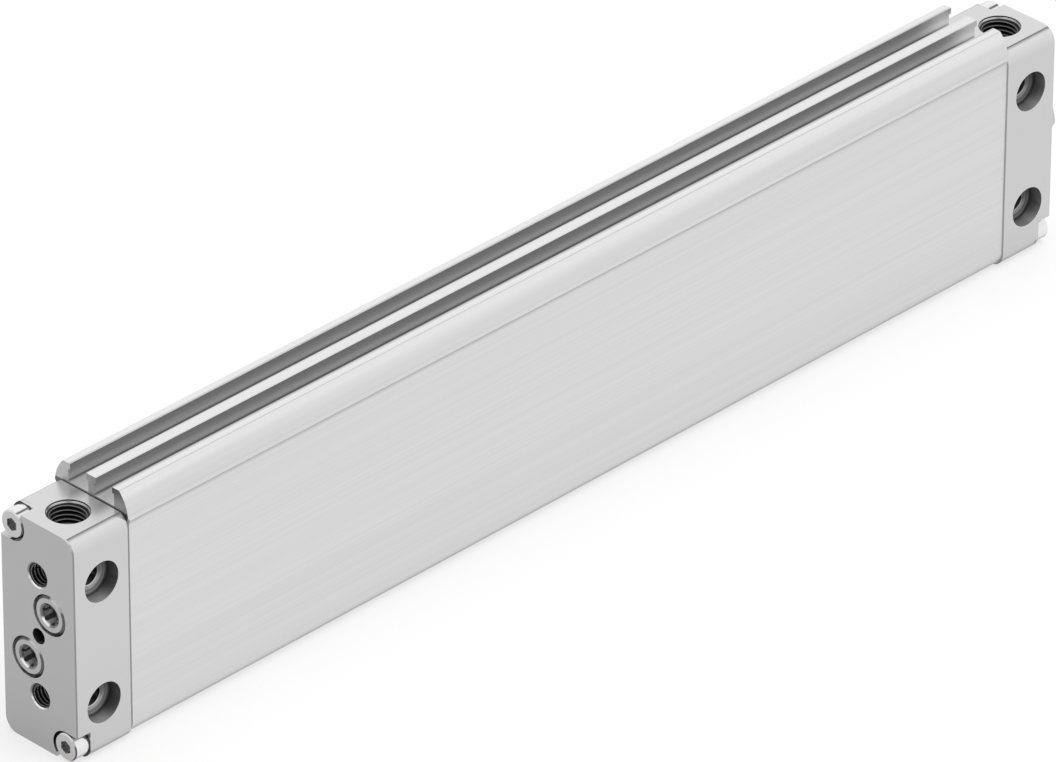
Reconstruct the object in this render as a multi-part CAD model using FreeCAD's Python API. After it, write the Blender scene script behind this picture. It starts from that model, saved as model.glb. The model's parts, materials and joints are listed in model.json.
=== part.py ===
import FreeCAD, Part
import math
import os

V = FreeCAD.Vector

# Overall sizes of the flat cylinder, in millimetres. X runs along the rod, Z is up.
body_width = 24.0
cap_height = 60.0
cap_length = 17.0
barrel_length = 291.0
stroke = 250.0
corner_radius = 4.0
overall_length = barrel_length + 2 * cap_length
side_y = body_width / 2
cap_top = cap_height / 2
barrel_start = cap_length
barrel_end = cap_length + barrel_length
past = 1.0

# Extruded barrel: flat-oval bore, two sensor slots between three rails on top
bore_width = 14.0
bore_height = 38.0
rail_top = 35.2
slot_floor = 30.4
slot_lip = 1.6
slot_undercut = 0.6
centre_rail_half = 1.55
slot_width = 5.3
side_rail_width = 2.3
rail_break = 0.13
rail_break_angle = 0.9
ledge_z = 28.2
side_recess = 0.3
barrel_side = side_y - side_recess
foot_radius = 3.0
barrel_bottom = -29.85
barrel_break = 0.5

# Tie screws on one diagonal: thread-forming M4 with a socket head in a corner pocket
tie_y = 8.1
tie_z = 26.2
tie_head_radius = 3.5
tie_head_length = 5.0
tie_socket_across = 3.0
tie_socket_depth = 2.4
tie_shank_radius = 1.95
tie_length = 26.0
tie_channel_radius = 2.0
tie_clearance_radius = 2.2
pocket_radius = 4.0
pocket_depth = 4.1
pocket_top_y = 5.1

# Cap features
edge_break = 0.3
joint_break = 0.25
joint_groove = 0.36
corner_rise = 0.3
hole_x = 8.5
hole_z = 16.2
side_hole_radius = 2.75
side_bore_radius = 5.15
side_bore_depth = 3.6
side_bore_cone = 0.8
end_thread_radius = 3.0
end_thread_mouth = 3.3
end_thread_depth = 11.0
port_y = -1.4
port_radius = 4.864
port_mouth = 5.2
port_lip = 0.35
port_depth = 8.0
port_floor = cap_top - port_depth
passage_radius = 1.25
passage_z = 16.0
passage_lean = 2.0
centring_radius = 2.0
centring_depth = 5.0

# Seal between cap and barrel, in a groove of the cap's inner face
gasket_inner_gap = 1.2
gasket_outer_gap = 3.0
gasket_slack = 0.2
gasket_thickness = 1.2

# Stop plate in the rear of the bore, with its two M5 screws
spigot_clearance = 0.05
plate_thickness = 6.0
plate_end = barrel_start + plate_thickness
plate_screw_y = -3.67
plate_screw_z = 7.2
screw_head_radius = 4.85
screw_head_length = 4.9
screw_shank_radius = 2.45
screw_thread_radius = 2.5
screw_clearance_radius = 2.75
screw_bore_radius = 5.25
screw_seal_thickness = 1.0
screw_seat = screw_head_length + screw_seal_thickness
screw_end_gap = 0.5
lobe_tip = 2.65
lobe_radius = 0.6
lobe_core = 1.95
lobe_depth = 2.6
lobe_mouth = 3.1
lobe_mouth_floor = 2.3
lobe_mouth_depth = 0.6
lobe_turn = 12.0
screw_rim = 0.6

# End-stop pads
bumper_thickness = 1.5
bumper_inset = 0.7
bumper_gap_half = 8.0
stop_gap = 0.3

# Rod, its bearing and its seals
rod_radius = 6.0
rod_reach = 8.1
rod_chamfer = 0.3
flats_across = 10.0
flats_length = 6.0
flats_turn = 14.0
rod_thread_radius = 3.0
rod_thread_mouth = 3.3
rod_thread_depth = 14.0
rod_running_gap = 0.03
lip_gap = 0.04
bush_radius = 7.0
bush_length = 12.5
bush_end_gap = 0.5
seal_housing_radius = 9.0
seal_length = 4.0
retainer_length = 1.5
retainer_hole = 6.5
wiper_lip = 0.8
wiper_lip_root = 7.6
wiper_lip_tip = 6.5
seal_step_inset = 7.5
seal_step = barrel_end + seal_step_inset
spigot_start = barrel_end - plate_thickness
front_face = overall_length
rod_tip = overall_length + rod_reach

# Piston: two halves around a magnet and a guide band, on a spigot of the rod
piston_clearance = 0.3
piston_start = plate_end + bumper_thickness + stop_gap
piston_end = spigot_start - bumper_thickness - stop_gap - stroke
piston_length = piston_end - piston_start
magnet_length = 5.0
magnet_start = piston_start + (piston_length - magnet_length) / 2
magnet_end = magnet_start + magnet_length
magnet_inset = 1.0
band_side_gap = 0.1
band_clearance = 0.05
seal_groove_length = 3.0
seal_groove_inset = 2.0
seal_groove_offset = 2.6
front_groove_offset = 4.6
seal_side_gap = 0.2
lip_notch_depth = 1.0
lip_notch_inset = 0.6
lip_notch_width = 0.7
spigot_radius = 3.5
spigot_length = 18.7
piston_screw_head_radius = 4.25
piston_screw_head_length = 3.0
piston_screw_recess_radius = 4.5
piston_screw_recess = 3.4
piston_screw_grip = 10.0
piston_screw_thread_depth = 12.0
o_ring_section = 0.42
o_ring_back = 2.0


def bar_x(radius, x0, x1, y=0.0, z=0.0):
    return Part.makeCylinder(radius, x1 - x0, V(x0, y, z), V(1, 0, 0))


def bar_y(radius, y0, y1, x, z):
    return Part.makeCylinder(radius, y1 - y0, V(x, y0, z), V(0, 1, 0))


def bar_z(radius, z0, z1, x, y):
    return Part.makeCylinder(radius, z1 - z0, V(x, y, z0), V(0, 0, 1))


def ring_x(inner, outer, x0, x1, y=0.0, z=0.0):
    return bar_x(outer, x0, x1, y, z).cut(bar_x(inner, x0, x1, y, z))


def mouth_x(radius, mouth_radius, x_face, inward, y=0.0, z=0.0):
    """Countersink of 45 degrees at a hole's mouth; inward is +1 or -1 along X."""
    depth = mouth_radius - radius
    return Part.makeCone(mouth_radius, radius, depth, V(x_face, y, z), V(inward, 0, 0))


def oblong(width, height, x0, x1):
    """Flat-oval prism with full-round ends, centred on the cylinder's axis."""
    r = width / 2
    h = height / 2 - r
    top = Part.Arc(V(x0, r, h), V(x0, 0, h + r), V(x0, -r, h))
    bottom = Part.Arc(V(x0, -r, -h), V(x0, 0, -h - r), V(x0, r, -h))
    near = Part.LineSegment(V(x0, -r, h), V(x0, -r, -h))
    far = Part.LineSegment(V(x0, r, -h), V(x0, r, h))
    wire = Part.Wire([piece.toShape() for piece in (top, near, bottom, far)])
    return Part.Face(wire).extrude(V(x1 - x0, 0, 0))


def bore_offset(offset, x0, x1):
    """Prism of the bore's flat-oval section, grown on all sides by the offset."""
    return oblong(bore_width + 2 * offset, bore_height + 2 * offset, x0, x1)


def bore_ring(inner_offset, outer_offset, x0, x1):
    return bore_offset(outer_offset, x0, x1).cut(bore_offset(inner_offset, x0, x1))


def hex_socket(across, x0, x1, y=0.0, z=0.0):
    reach = across / math.sqrt(3)
    corners = []
    for k in range(7):
        angle = math.radians(60 * k + 30)
        corners.append(V(x0, y + reach * math.cos(angle), z + reach * math.sin(angle)))
    return Part.Face(Part.makePolygon(corners)).extrude(V(x1 - x0, 0, 0))


def at_front(shape):
    """The same shape at the front end, mirrored about the middle of the cylinder."""
    return shape.mirror(V(overall_length / 2, 0, 0), V(1, 0, 0))


def half_turned(shape):
    """A copy at the opposite corner, half a turn about the cylinder's axis."""
    copy = shape.copy()
    copy.rotate(V(0, 0, 0), V(1, 0, 0), 180)
    return copy


def arc_across(x, y, z, radius, start, end):
    """Arc in the plane across X, with its angles in degrees from +Y towards +Z."""
    points = []
    for degrees in (start, (start + end) / 2, end):
        angle = math.radians(degrees)
        points.append(V(x, y + radius * math.cos(angle), z + radius * math.sin(angle)))
    return Part.Arc(*points).toShape()


def barrel_half_outline():
    """Far half of the profile, from the top middle to the bottom middle.

    The rounded flank starts at the rail's broken edge, stands a little proud of the
    flat side and ends in a ledge, with a hollow below it that runs out into the side.
    """
    x = barrel_start
    slot_wall = centre_rail_half + slot_width
    rail_edge = slot_wall + side_rail_width
    lip_z = rail_top - slot_lip
    inset = side_y - rail_edge
    drop = rail_top - ledge_z
    flank_radius = (inset ** 2 + drop ** 2) / (2 * inset)
    flank_angle = math.degrees(math.asin(drop / flank_radius)) - rail_break_angle
    flank_y = side_y - flank_radius
    break_y = flank_y + flank_radius * math.cos(math.radians(flank_angle))
    break_z = ledge_z + flank_radius * math.sin(math.radians(flank_angle))
    foot_angle = math.acos(1 - side_recess / foot_radius)
    foot_z = ledge_z - foot_radius * math.sin(foot_angle)
    corner_y = barrel_side - corner_radius
    corner_z = barrel_bottom + corner_radius
    path = [
        V(x, 0, rail_top),
        V(x, centre_rail_half, rail_top),
        V(x, centre_rail_half, lip_z),
        V(x, centre_rail_half - slot_undercut, lip_z),
        V(x, centre_rail_half - slot_undercut, slot_floor),
        V(x, slot_wall + slot_undercut, slot_floor),
        V(x, slot_wall + slot_undercut, lip_z),
        V(x, slot_wall, lip_z),
        V(x, slot_wall, rail_top),
        V(x, rail_edge - rail_break, rail_top),
        V(x, break_y, break_z),
    ]
    edges = [Part.makeLine(a, b) for a, b in zip(path, path[1:])]
    edges.append(arc_across(x, flank_y, ledge_z, flank_radius, flank_angle, 0))
    hollow_start = 180 - math.degrees(foot_angle)
    edges.append(arc_across(x, barrel_side + foot_radius, foot_z, foot_radius, hollow_start, 180))
    edges.append(Part.makeLine(V(x, barrel_side, foot_z), V(x, barrel_side, corner_z)))
    edges.append(arc_across(x, corner_y, corner_z, corner_radius, 0, -90))
    edges.append(Part.makeLine(V(x, corner_y, barrel_bottom), V(x, 0, barrel_bottom)))
    return edges


def rear_edges_below_ledge(body):
    at_rear = [e for e in body.Edges if e.BoundBox.XMax < barrel_start + past]
    return [e for e in at_rear if e.BoundBox.ZMax < ledge_z + edge_break]


def barrel_profile():
    far_half = barrel_half_outline()
    near_half = Part.Wire(far_half).mirror(V(0, 0, 0), V(0, 1, 0))
    outline = Part.Wire(Part.__sortEdges__(far_half + near_half.Edges))
    body = Part.Face(outline).extrude(V(barrel_length, 0, 0)).removeSplitter()
    body = body.makeChamfer(barrel_break, rear_edges_below_ledge(body))
    channel = bar_x(tie_channel_radius, barrel_start, barrel_end, tie_y, tie_z)
    return body.cut([bore_offset(0, barrel_start, barrel_end), channel, half_turned(channel)])


def cap_blank():
    """Rear cap's block: corners rounded, edges broken, then top and bottom milled flat.

    The flat faces cut the round corners short and leave a slight crease. A small
    bevel along the top leaves a groove where the barrel meets the cap.
    """
    raw_top = cap_top + corner_rise
    block = Part.makeBox(cap_length, body_width, 2 * raw_top, V(0, -side_y, -raw_top))
    long_edges = [e for e in block.Edges if e.BoundBox.XLength > cap_length / 2]
    block = block.makeFillet(corner_radius, long_edges)
    outer = [e for e in block.Edges if e.BoundBox.XMax < edge_break]
    block = block.makeChamfer(edge_break, outer)
    inner = [e for e in block.Edges if e.BoundBox.XMin > cap_length - joint_break]
    block = block.makeChamfer(joint_break, inner)
    above = Part.makeBox(cap_length, body_width, raw_top, V(0, -side_y, cap_top))
    below = Part.makeBox(cap_length, body_width, raw_top, V(0, -side_y, -cap_top - raw_top))
    bevel_corners = [
        V(cap_length - joint_groove, -side_y, cap_top),
        V(cap_length, -side_y, cap_top),
        V(cap_length, -side_y, cap_top - joint_groove),
        V(cap_length - joint_groove, -side_y, cap_top),
    ]
    bevel = Part.Face(Part.makePolygon(bevel_corners)).extrude(V(0, body_width, 0))
    return block.cut([above, below, bevel])


def port_cutters():
    """Threaded supply port in the cap's top, and its slanting passage to the bore."""
    depth = port_mouth - port_radius
    lip_floor = cap_top - port_lip
    hole = bar_z(port_radius, port_floor, cap_top, hole_x, port_y)
    lip = bar_z(port_mouth, lip_floor, cap_top, hole_x, port_y)
    mouth = Part.makeCone(port_radius, port_mouth, depth, V(hole_x, port_y, lip_floor - depth))
    start = V(hole_x + passage_lean, port_y, port_floor + past)
    run = V(cap_length, port_y, passage_z) - start
    passage = Part.makeCylinder(passage_radius, run.Length + past, start, run)
    return [hole, lip, mouth, passage]


def side_hole_cutters():
    """Cross holes for the mounting screws, counterbored on the near side."""
    cutters = []
    for z in (hole_z, -hole_z):
        cutters.append(bar_y(side_hole_radius, -side_y, side_y, hole_x, z))
        bore_end = side_bore_depth - side_y
        cutters.append(bar_y(side_bore_radius, -side_y, bore_end, hole_x, z))
        tip = V(hole_x, bore_end, z)
        cutters.append(Part.makeCone(side_bore_radius, side_hole_radius, side_bore_cone, tip, V(0, 1, 0)))
    return cutters


def end_thread_cutters():
    cutters = []
    for z in (hole_z, -hole_z):
        cutters.append(bar_x(end_thread_radius, 0, end_thread_depth, 0, z))
        cutters.append(mouth_x(end_thread_radius, end_thread_mouth, 0, 1, 0, z))
    return cutters


def tie_pocket():
    """Corner pocket open to the top and the side, round where it follows the screw head."""
    reach = pocket_radius + past
    side = Part.makeBox(pocket_depth, reach, reach + pocket_radius, V(0, tie_y, tie_z - pocket_radius))
    top_width = tie_y + reach - pocket_top_y
    top = Part.makeBox(pocket_depth, top_width, reach, V(0, pocket_top_y, tie_z))
    seat = bar_x(pocket_radius, 0, tie_head_length, tie_y, tie_z)
    hole = bar_x(tie_clearance_radius, 0, cap_length, tie_y, tie_z)
    return side.fuse([top, seat, hole])


def gasket_groove():
    return bore_ring(gasket_inner_gap, gasket_outer_gap, cap_length - gasket_thickness, cap_length)


def cap_with_common_features():
    """Everything that both caps have, in the rear cap's place."""
    pocket = tie_pocket()
    cutters = port_cutters() + side_hole_cutters() + end_thread_cutters()
    cutters += [pocket, half_turned(pocket), gasket_groove()]
    return cap_blank().cut(cutters)


def rear_cap():
    screw_bore = bar_x(screw_bore_radius, 0, screw_seat, plate_screw_y, plate_screw_z)
    screw_hole = bar_x(screw_clearance_radius, 0, cap_length, plate_screw_y, plate_screw_z)
    centring = bar_x(centring_radius, 0, centring_depth)
    cutters = [screw_bore, screw_hole, half_turned(screw_bore), half_turned(screw_hole)]
    return cap_with_common_features().cut(cutters + [centring])


def front_cap():
    """Cap with a spigot into the bore, a bush bore and a stepped seal housing."""
    body = at_front(cap_with_common_features())
    body = body.fuse(bore_offset(-spigot_clearance, spigot_start, barrel_end))
    bush_bore = bar_x(bush_radius, spigot_start, seal_step)
    housing = bar_x(seal_housing_radius, seal_step, front_face)
    return body.cut([bush_bore, housing, air_hole(spigot_start, barrel_end)])


def air_hole(x0, x1):
    return bar_x(passage_radius, x0, x1, port_y, passage_z)


def rear_stop_plate():
    plate = bore_offset(-spigot_clearance, barrel_start, plate_end)
    thread = bar_x(screw_thread_radius, barrel_start, plate_end, plate_screw_y, plate_screw_z)
    return plate.cut([thread, half_turned(thread), air_hole(barrel_start, plate_end)])


def rear_gasket():
    inner = gasket_inner_gap + gasket_slack
    outer = gasket_outer_gap - gasket_slack
    return bore_ring(inner, outer, cap_length - gasket_thickness, cap_length)


def bumper_pads(x0):
    """Two elastic pads, above and below the rod."""
    x1 = x0 + bumper_thickness
    pads = bore_offset(-bumper_inset, x0, x1)
    corner = V(x0, -bore_width / 2, -bumper_gap_half)
    middle = Part.makeBox(bumper_thickness, bore_width, 2 * bumper_gap_half, corner)
    return pads.cut([middle, air_hole(x0, x1)])


def tie_screw():
    head = bar_x(tie_head_radius, 0, tie_head_length, tie_y, tie_z)
    rim = [e for e in head.Edges if e.BoundBox.XMax < edge_break]
    head = head.makeChamfer(edge_break, rim)
    shank = bar_x(tie_shank_radius, tie_head_length, tie_length, tie_y, tie_z)
    socket = hex_socket(tie_socket_across, 0, tie_socket_depth, tie_y, tie_z)
    return head.fuse(shank).cut(socket)


def rear_tie_screws():
    screw = tie_screw()
    return Part.makeCompound([screw, half_turned(screw)])


def plate_screw():
    """Flush cylindrical head with a six-lobed recess."""
    y = plate_screw_y
    z = plate_screw_z
    head = bar_x(screw_head_radius, 0, screw_head_length, y, z)
    rim = [e for e in head.Edges if e.BoundBox.XMax < screw_rim]
    head = head.makeChamfer(screw_rim, rim)
    shank = bar_x(screw_shank_radius, screw_head_length, plate_end - screw_end_gap, y, z)
    recess = bar_x(lobe_core, 0, lobe_depth, y, z)
    centre_reach = lobe_tip - lobe_radius
    for k in range(6):
        angle = math.radians(60 * k + lobe_turn)
        lobe_y = y + centre_reach * math.cos(angle)
        lobe_z = z + centre_reach * math.sin(angle)
        recess = recess.fuse(bar_x(lobe_radius, 0, lobe_depth, lobe_y, lobe_z))
    mouth = Part.makeCone(lobe_mouth, lobe_mouth_floor, lobe_mouth_depth, V(0, y, z), V(1, 0, 0))
    return head.fuse(shank).cut([recess, mouth])


def plate_screws():
    screw = plate_screw()
    return Part.makeCompound([screw, half_turned(screw)])


def plate_screw_seals():
    place = (plate_screw_y, plate_screw_z)
    ring = ring_x(screw_clearance_radius, screw_head_radius, screw_head_length, screw_seat, *place)
    return Part.makeCompound([ring, half_turned(ring)])


def rod_bush():
    x1 = seal_step - bush_end_gap
    return ring_x(rod_radius + rod_running_gap, bush_radius, x1 - bush_length, x1)


def rod_seal():
    """Lip seal with its groove open to the pressure side."""
    inner = rod_radius + lip_gap
    ring = ring_x(inner, seal_housing_radius, seal_step, seal_step + seal_length)
    notch_in = inner + lip_notch_inset
    notch = ring_x(notch_in, notch_in + lip_notch_width, seal_step, seal_step + lip_notch_depth)
    return ring.cut(notch)


def seal_retainer():
    x0 = seal_step + seal_length
    return ring_x(retainer_hole, seal_housing_radius, x0, x0 + retainer_length)


def rod_wiper():
    """Wiper flush with the front face, with a short lip that leans on the rod."""
    x0 = seal_step + seal_length + retainer_length
    body = bar_x(seal_housing_radius, x0, front_face)
    lip = Part.makeCone(wiper_lip_root, wiper_lip_tip, wiper_lip, V(front_face, 0, 0), V(1, 0, 0))
    return body.fuse(lip).cut(bar_x(rod_radius + lip_gap, x0, front_face + wiper_lip))


def piston_rod():
    """Round rod with wrench flats and a threaded hole at its outer end."""
    shaft = bar_x(rod_radius, piston_end, rod_tip)
    tip_edge = [e for e in shaft.Edges if e.BoundBox.XMin > rod_tip - past]
    shaft = shaft.makeChamfer(rod_chamfer, tip_edge)
    corner = V(rod_tip - flats_length, flats_across / 2, -rod_radius)
    slab = Part.makeBox(flats_length, rod_radius, 2 * rod_radius, corner)
    slab.rotate(V(0, 0, 0), V(1, 0, 0), -flats_turn)
    thread = bar_x(rod_thread_radius, rod_tip - rod_thread_depth, rod_tip)
    mouth = mouth_x(rod_thread_radius, rod_thread_mouth, rod_tip, -1)
    spigot_start_x = piston_end - spigot_length
    spigot = bar_x(spigot_radius, spigot_start_x, piston_end)
    groove_x = piston_end - o_ring_back
    groove_depth = 2 * o_ring_section
    groove = ring_x(spigot_radius - groove_depth, spigot_radius, groove_x - groove_depth, groove_x)
    screw_hole = bar_x(screw_thread_radius, spigot_start_x, spigot_start_x + piston_screw_thread_depth)
    return shaft.fuse(spigot).cut([slab, half_turned(slab), thread, mouth, groove, screw_hole])


def piston_half(x0, x1, groove_x):
    """One half of the piston, with a seal groove and the hole for the rod's spigot."""
    body = bore_offset(-piston_clearance, x0, x1)
    groove_end = groove_x + seal_groove_length
    groove = bore_ring(-seal_groove_inset, 0, groove_x, groove_end)
    spigot_x = max(x0, piston_end - spigot_length)
    return body.cut([groove, bar_x(spigot_radius, spigot_x, x1)])


def rear_groove_x():
    return magnet_start - seal_groove_offset - seal_groove_length


def front_groove_x():
    return magnet_end + front_groove_offset


def piston_rear():
    half = piston_half(piston_start, magnet_start, rear_groove_x())
    recess_end = piston_start + piston_screw_recess
    recess = bar_x(piston_screw_recess_radius, piston_start, recess_end)
    hole = bar_x(screw_clearance_radius, recess_end, piston_end - spigot_length)
    return half.cut([recess, hole])


def piston_front():
    return piston_half(magnet_end, piston_end, front_groove_x())


def piston_magnet():
    block = bore_offset(-magnet_inset, magnet_start, magnet_end)
    return block.cut(bar_x(spigot_radius, magnet_start, magnet_end))


def piston_guide_band():
    x0 = magnet_start + band_side_gap
    return bore_ring(-magnet_inset, -band_clearance, x0, magnet_end - band_side_gap)


def piston_seal(groove_x, lip_at_start):
    """Flat-oval lip seal; the lip's groove faces the pressure side."""
    x0 = groove_x + seal_side_gap
    x1 = groove_x + seal_groove_length - seal_side_gap
    ring = bore_ring(-seal_groove_inset, -band_clearance, x0, x1)
    notch_out = -band_clearance - lip_notch_inset
    notch_x = x0 if lip_at_start else x1 - lip_notch_depth
    notch = bore_ring(notch_out - lip_notch_width, notch_out, notch_x, notch_x + lip_notch_depth)
    return ring.cut(notch)


def piston_screw():
    """Low-head screw that clamps the two piston halves against the rod's shoulder."""
    seat = piston_start + piston_screw_recess
    head = bar_x(piston_screw_head_radius, seat - piston_screw_head_length, seat)
    shank = bar_x(screw_shank_radius, seat, piston_end - spigot_length + piston_screw_grip)
    socket_x = seat - piston_screw_head_length
    socket = hex_socket(tie_socket_across, socket_x, socket_x + piston_screw_head_length / 2)
    return head.fuse(shank).cut(socket)


def piston_o_ring():
    centre = V(piston_end - o_ring_back - o_ring_section, 0, 0)
    return Part.makeTorus(spigot_radius - o_ring_section, o_ring_section, centre, V(1, 0, 0))


nodes = {
    "barrel_profile": barrel_profile(),
    "rear_cap": rear_cap(),
    "front_cap": front_cap(),
    "rear_stop_plate": rear_stop_plate(),
    "rear_gasket": rear_gasket(),
    "front_gasket": at_front(rear_gasket()),
    "rear_bumpers": bumper_pads(plate_end),
    "front_bumpers": bumper_pads(spigot_start - bumper_thickness),
    "rear_tie_screws": rear_tie_screws(),
    "front_tie_screws": at_front(rear_tie_screws()),
    "plate_screws": plate_screws(),
    "plate_screw_seals": plate_screw_seals(),
    "rod_bush": rod_bush(),
    "rod_seal": rod_seal(),
    "seal_retainer": seal_retainer(),
    "rod_wiper": rod_wiper(),
    "piston_rod": piston_rod(),
    "piston_front": piston_front(),
    "piston_rear": piston_rear(),
    "piston_magnet": piston_magnet(),
    "piston_guide_band": piston_guide_band(),
    "piston_seal_front": piston_seal(front_groove_x(), False),
    "piston_seal_rear": piston_seal(rear_groove_x(), True),
    "piston_screw": piston_screw(),
    "piston_o_ring": piston_o_ring(),
}

os.makedirs("parts", exist_ok=True)
for name, shape in nodes.items():
    shape.exportStep("parts/" + name + ".step")
    print(name, "solids", len(shape.Solids), "valid", shape.isValid(), "volume", round(shape.Volume, 1))
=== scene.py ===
import json
import math
from functools import partial

import bmesh
import bpy
from mathutils import Matrix, Vector


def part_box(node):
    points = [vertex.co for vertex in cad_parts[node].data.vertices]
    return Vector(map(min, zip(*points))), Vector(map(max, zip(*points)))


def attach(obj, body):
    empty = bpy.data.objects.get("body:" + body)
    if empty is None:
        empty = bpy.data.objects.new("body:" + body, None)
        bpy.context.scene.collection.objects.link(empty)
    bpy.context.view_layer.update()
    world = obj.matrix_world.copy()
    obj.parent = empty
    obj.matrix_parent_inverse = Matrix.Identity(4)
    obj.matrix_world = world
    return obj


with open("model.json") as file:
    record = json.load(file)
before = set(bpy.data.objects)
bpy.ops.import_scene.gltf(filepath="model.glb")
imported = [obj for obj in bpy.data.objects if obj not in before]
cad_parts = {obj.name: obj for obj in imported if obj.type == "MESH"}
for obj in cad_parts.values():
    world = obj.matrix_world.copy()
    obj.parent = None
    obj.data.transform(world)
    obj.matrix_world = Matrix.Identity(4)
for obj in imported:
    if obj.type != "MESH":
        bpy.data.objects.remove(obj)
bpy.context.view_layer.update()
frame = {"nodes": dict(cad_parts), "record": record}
nodes = frame["nodes"]
MM = 0.001

# Sizes of the cylinder that the looks are worked out from, in metres
rear_low, rear_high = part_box("rear_cap")
front_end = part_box("front_cap")[1].x
rod_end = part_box("piston_rod")[1].x
BASE_Z = rear_low.z
CAP_TOP = rear_high.z
CAP_SIDE = rear_high.y
CAP_LENGTH = rear_high.x - rear_low.x
OVERALL = front_end - rear_low.x
HALF_LENGTH = OVERALL / 2
BARREL_END = OVERALL - CAP_LENGTH
CAP_HOLE_X = CAP_LENGTH / 2
CAP_HOLE_Z = 16.2 * MM
COUNTERBORE_Y = -8.4 * MM
PORT_Y = -1.4 * MM
FLUSH_SCREW_Y = -3.67 * MM
FLUSH_SCREW_Z = 7.2 * MM
TIE_Y = 8.1 * MM
TIE_Z = 26.2 * MM
POCKET_DEPTH = 4.1 * MM
LEDGE_Z = 28.2 * MM
SLOT_FLOOR = 30.4 * MM
RAIL_TOP = 35.2 * MM

# Threads, as outer radius, crest radius, pitch, length, and the cone that leads in
M6 = dict(
    outer=2.99 * MM, crest=2.46 * MM, pitch=1.0 * MM, length=5.7 * MM, cone=3.3 * MM, lead=2.94 * MM)
PORT = dict(
    outer=4.855 * MM, crest=4.28 * MM, pitch=1.19 * MM, length=7.6 * MM, cone=5.55 * MM, lead=4.84 * MM)
ROD_M6 = dict(M6, length=12.0 * MM)
LEAD_STEP = 0.05 * MM
RIDGE_STOPS = (0.0, 0.25, 0.6, 0.7, 0.95)
RIDGE_HEIGHTS = (0.0, 0.0, 1.0, 1.0, 0.0)
CREST = "crest"
ROUND_STEPS = 64
SAME_PLACE = 1e-7

# Rings that close the tie screws' seats, as depth below the end face and radius
SEAT_PROFILE = (
    (4.1 * MM, 3.52 * MM), (4.1 * MM, 3.99 * MM), (4.98 * MM, 3.99 * MM), (4.98 * MM, 3.52 * MM))
SEAT_MARGIN = 0.02 * MM

# Camera of the photograph
AZIMUTH = math.radians(45.3945)
ELEVATION = math.radians(31.7692)
ROLL = math.radians(0.1893)
DISTANCE = 2576.197 * MM
TARGET = Vector((156.4901, 0.0, -1.0111)) * MM
SENSOR = 36.0
FOCAL_PIXELS = 11025.568
IMAGE_WIDTH = 1056

# Floor and light: each sun has its strength, its width in degrees and the direction it comes from
FLOOR_GREY = 0.25
FLOOR_HALF = 12.0
FLOOR_GAP = 0.05 * MM
FLOOR_LIGHT = 1.22
SUNS = {
    "key": (1.6, 35.0, (0.2, -0.5, 0.8)),
    "top": (2.3, 60.0, (0.1, 0.1, 1.0)),
}
SKY = 0.15

# The sky in reflections: where it is dull, as ranges over which each edge of the dull part fades
OVERHEAD = 0.05
GAP_NEAR = (-0.16, -0.02)
GAP_FAR = (0.14, 0.24)
GAP_ABOVE = (0.4, 0.65)
GAP_FRONT = (0.3, 0.5)
DULL_CORNER = (-0.6055, -0.597, 0.5265)
CORNER_EDGE = (0.93, 0.97)

# Directions, and the cosines between which a surface turns square to an axis or stops being a wall
AXES = {"X": (1, 0, 0), "Y": (0, 1, 0), "Z": (0, 0, 1)}
UP = AXES["Z"]
SQUARE_ON = (0.9, 0.98)
WALL = (0.3, 0.5)

# Grain of the finishes, per metre, and the noise values that its darkest and lightest parts have
FINE = 3000.0
DRAWN = 1250.0
DRAWN_LONG = 6.0
GROUND = 60.0
EVEN = (FINE, FINE, FINE)
NOISE_DETAIL = 4.0
NOISE_RANGE = (0.3, 0.7)
RELIEF = 0.5


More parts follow.
